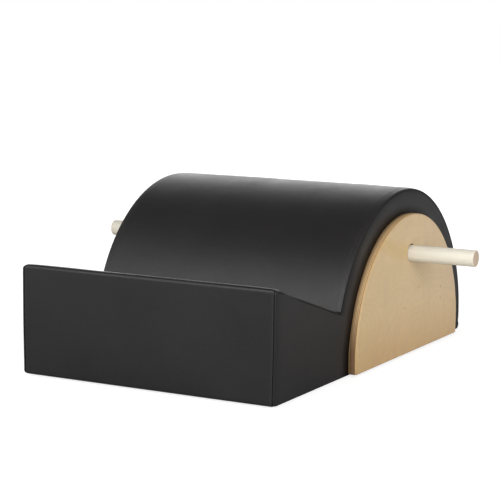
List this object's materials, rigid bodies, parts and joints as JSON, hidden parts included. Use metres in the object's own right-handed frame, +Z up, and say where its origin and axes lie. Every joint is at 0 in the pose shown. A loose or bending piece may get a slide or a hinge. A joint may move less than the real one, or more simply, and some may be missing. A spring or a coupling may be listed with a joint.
{
  "type": "pilates spine corrector",
  "caption": "Upholstered half barrel with a sloped seat and raised front lip, arched wooden side panels and a sliding through pole whose ends are the handles.",
  "frame": {"origin": "middle of the footprint, on the floor under the feet", "axes": "+X to the right side panel along the pole, +Y from the front lip to the back of the barrel, +Z up"},
  "size_m": [0.76, 0.78, 0.3035],
  "materials": {
    "black_vinyl": "smooth matt black upholstery vinyl",
    "foam": "firm open-cell foam",
    "black_cloth": "thin non-woven cloth",
    "birch_panel": "clear-lacquered birch plywood",
    "plywood": "raw plywood and pine",
    "pole_wood": "pale sanded hardwood",
    "tube_plastic": "plain plastic pipe",
    "foot_rubber": "black rubber",
    "steel": "zinc-plated steel"
  },
  "bodies": {
    "body": {"barrel_cover": "black_vinyl", "barrel_deck": "plywood", "barrel_foam": "foam", "base_board": "plywood", "base_screw_centre_front": "steel", "base_screw_centre_rear": "steel", "base_screw_left_front": "steel", "base_screw_left_rear": "steel", "base_screw_right_front": "steel", "base_screw_right_rear": "steel", "centre_rib": "plywood", "dust_cover": "black_cloth", "foot_left_front": "foot_rubber", "foot_left_rear": "foot_rubber", "foot_right_front": "foot_rubber", "foot_right_rear": "foot_rubber", "foot_screw_left_front": "steel", "foot_screw_left_rear": "steel", "foot_screw_right_front": "steel", "foot_screw_right_rear": "steel", "front_cover": "black_vinyl", "lip_block_left_inner": "plywood", "lip_block_left_outer": "plywood", "lip_block_right_inner": "plywood", "lip_block_right_outer": "plywood", "lip_board": "plywood", "lip_screw_centre_high": "steel", "lip_screw_centre_low": "steel", "lip_screw_left_high": "steel", "lip_screw_left_low": "steel", "lip_screw_right_high": "steel", "lip_screw_right_low": "steel", "middle_rail": "plywood", "panel_screw_left_1": "steel", "panel_screw_left_2": "steel", "panel_screw_left_3": "steel", "panel_screw_left_4": "steel", "panel_screw_right_1": "steel", "panel_screw_right_2": "steel", "panel_screw_right_3": "steel", "panel_screw_right_4": "steel", "pole_tube": "tube_plastic", "rear_rail": "plywood", "seat_cover": "black_vinyl", "seat_deck": "plywood", "seat_foam": "foam", "side_cover_left": "black_vinyl", "side_cover_right": "black_vinyl", "side_panel_left": "birch_panel", "side_panel_right": "birch_panel", "side_rib_left": "plywood", "side_rib_right": "plywood", "well_rail": "plywood"},
    "pole": {"handle_pole": "pole_wood"}
  },
  "joints": [
    {"name": "pole_slide", "type": "slide", "parent": "body", "child": "pole", "axis": [1, 0, 0], "range_m": [-0.62, 0.62]}
  ]
}
